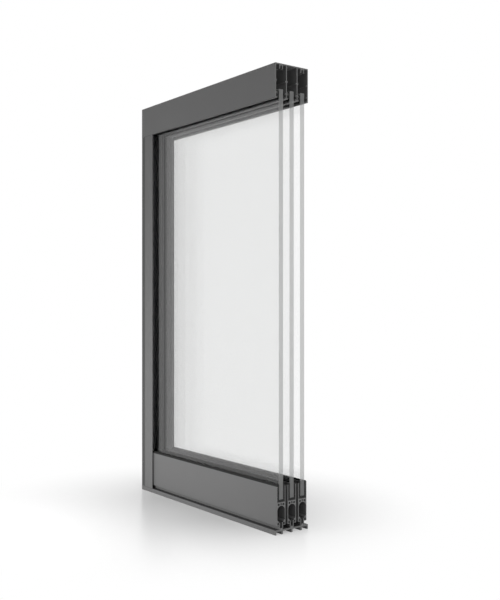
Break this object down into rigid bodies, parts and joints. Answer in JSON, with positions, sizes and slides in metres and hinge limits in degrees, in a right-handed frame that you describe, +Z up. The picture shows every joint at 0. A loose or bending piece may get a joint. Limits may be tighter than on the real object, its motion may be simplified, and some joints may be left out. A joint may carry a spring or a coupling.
{
  "type": "aluminium sliding door corner sample",
  "caption": "Cut corner of a frameless aluminium sliding door: channelled head, side jamb and threshold track, with glass panes on roller rails that slide along it.",
  "frame": {"origin": "on the floor, under the middle of the section", "axes": "+X along the door towards its sawn end, +Y from the front face to the back face, +Z up"},
  "size_m": [0.494, 0.08, 0.88],
  "materials": {
    "dark_aluminium": "dark grey satin powder coat",
    "end_cap": "dark grey moulded nylon, fine grain",
    "wall_strip": "dark extruded plastic, matt",
    "black_pile": "dense upright pile",
    "steel_rail": "drawn stainless steel",
    "clear_glass": "clear toughened glass with ground edges",
    "black_rubber": "matt extruded rubber",
    "roller": "natural nylon, turned",
    "roller_housing": "black glass-filled nylon"
  },
  "bodies": {
    "frame": {"head_track": "dark_aluminium", "bottom_track": "dark_aluminium", "side_jamb": "dark_aluminium", "head_end_cap": "end_cap", "track_end_cap": "end_cap", "wall_strips": "wall_strip", "head_seal_1": "black_pile", "running_rail_1": "steel_rail", "head_seal_2": "black_pile", "running_rail_2": "steel_rail", "head_seal_3": "black_pile", "running_rail_3": "steel_rail"},
    "leaf_1": {"glass_pane_1": "clear_glass", "glazing_gasket_1": "black_rubber", "leaf_rail_1": "dark_aluminium", "rail_seals_1": "black_pile", "roller_wheel_1a": "roller", "roller_housing_1a": "roller_housing", "roller_wheel_1b": "roller", "roller_housing_1b": "roller_housing"},
    "leaf_2": {"glass_pane_2": "clear_glass", "glazing_gasket_2": "black_rubber", "leaf_rail_2": "dark_aluminium", "rail_seals_2": "black_pile", "roller_wheel_2a": "roller", "roller_housing_2a": "roller_housing", "roller_wheel_2b": "roller", "roller_housing_2b": "roller_housing"},
    "leaf_3": {"glass_pane_3": "clear_glass", "glazing_gasket_3": "black_rubber", "leaf_rail_3": "dark_aluminium", "rail_seals_3": "black_pile", "roller_wheel_3a": "roller", "roller_housing_3a": "roller_housing", "roller_wheel_3b": "roller", "roller_housing_3b": "roller_housing"}
  },
  "joints": [
    {"name": "leaf_1_slide", "type": "slide", "parent": "frame", "child": "leaf_1", "axis": [1, 0, 0], "range_m": [0, 0.16]},
    {"name": "leaf_2_slide", "type": "slide", "parent": "frame", "child": "leaf_2", "axis": [1, 0, 0], "range_m": [0, 0.16]},
    {"name": "leaf_3_slide", "type": "slide", "parent": "frame", "child": "leaf_3", "axis": [1, 0, 0], "range_m": [0, 0.16]}
  ]
}
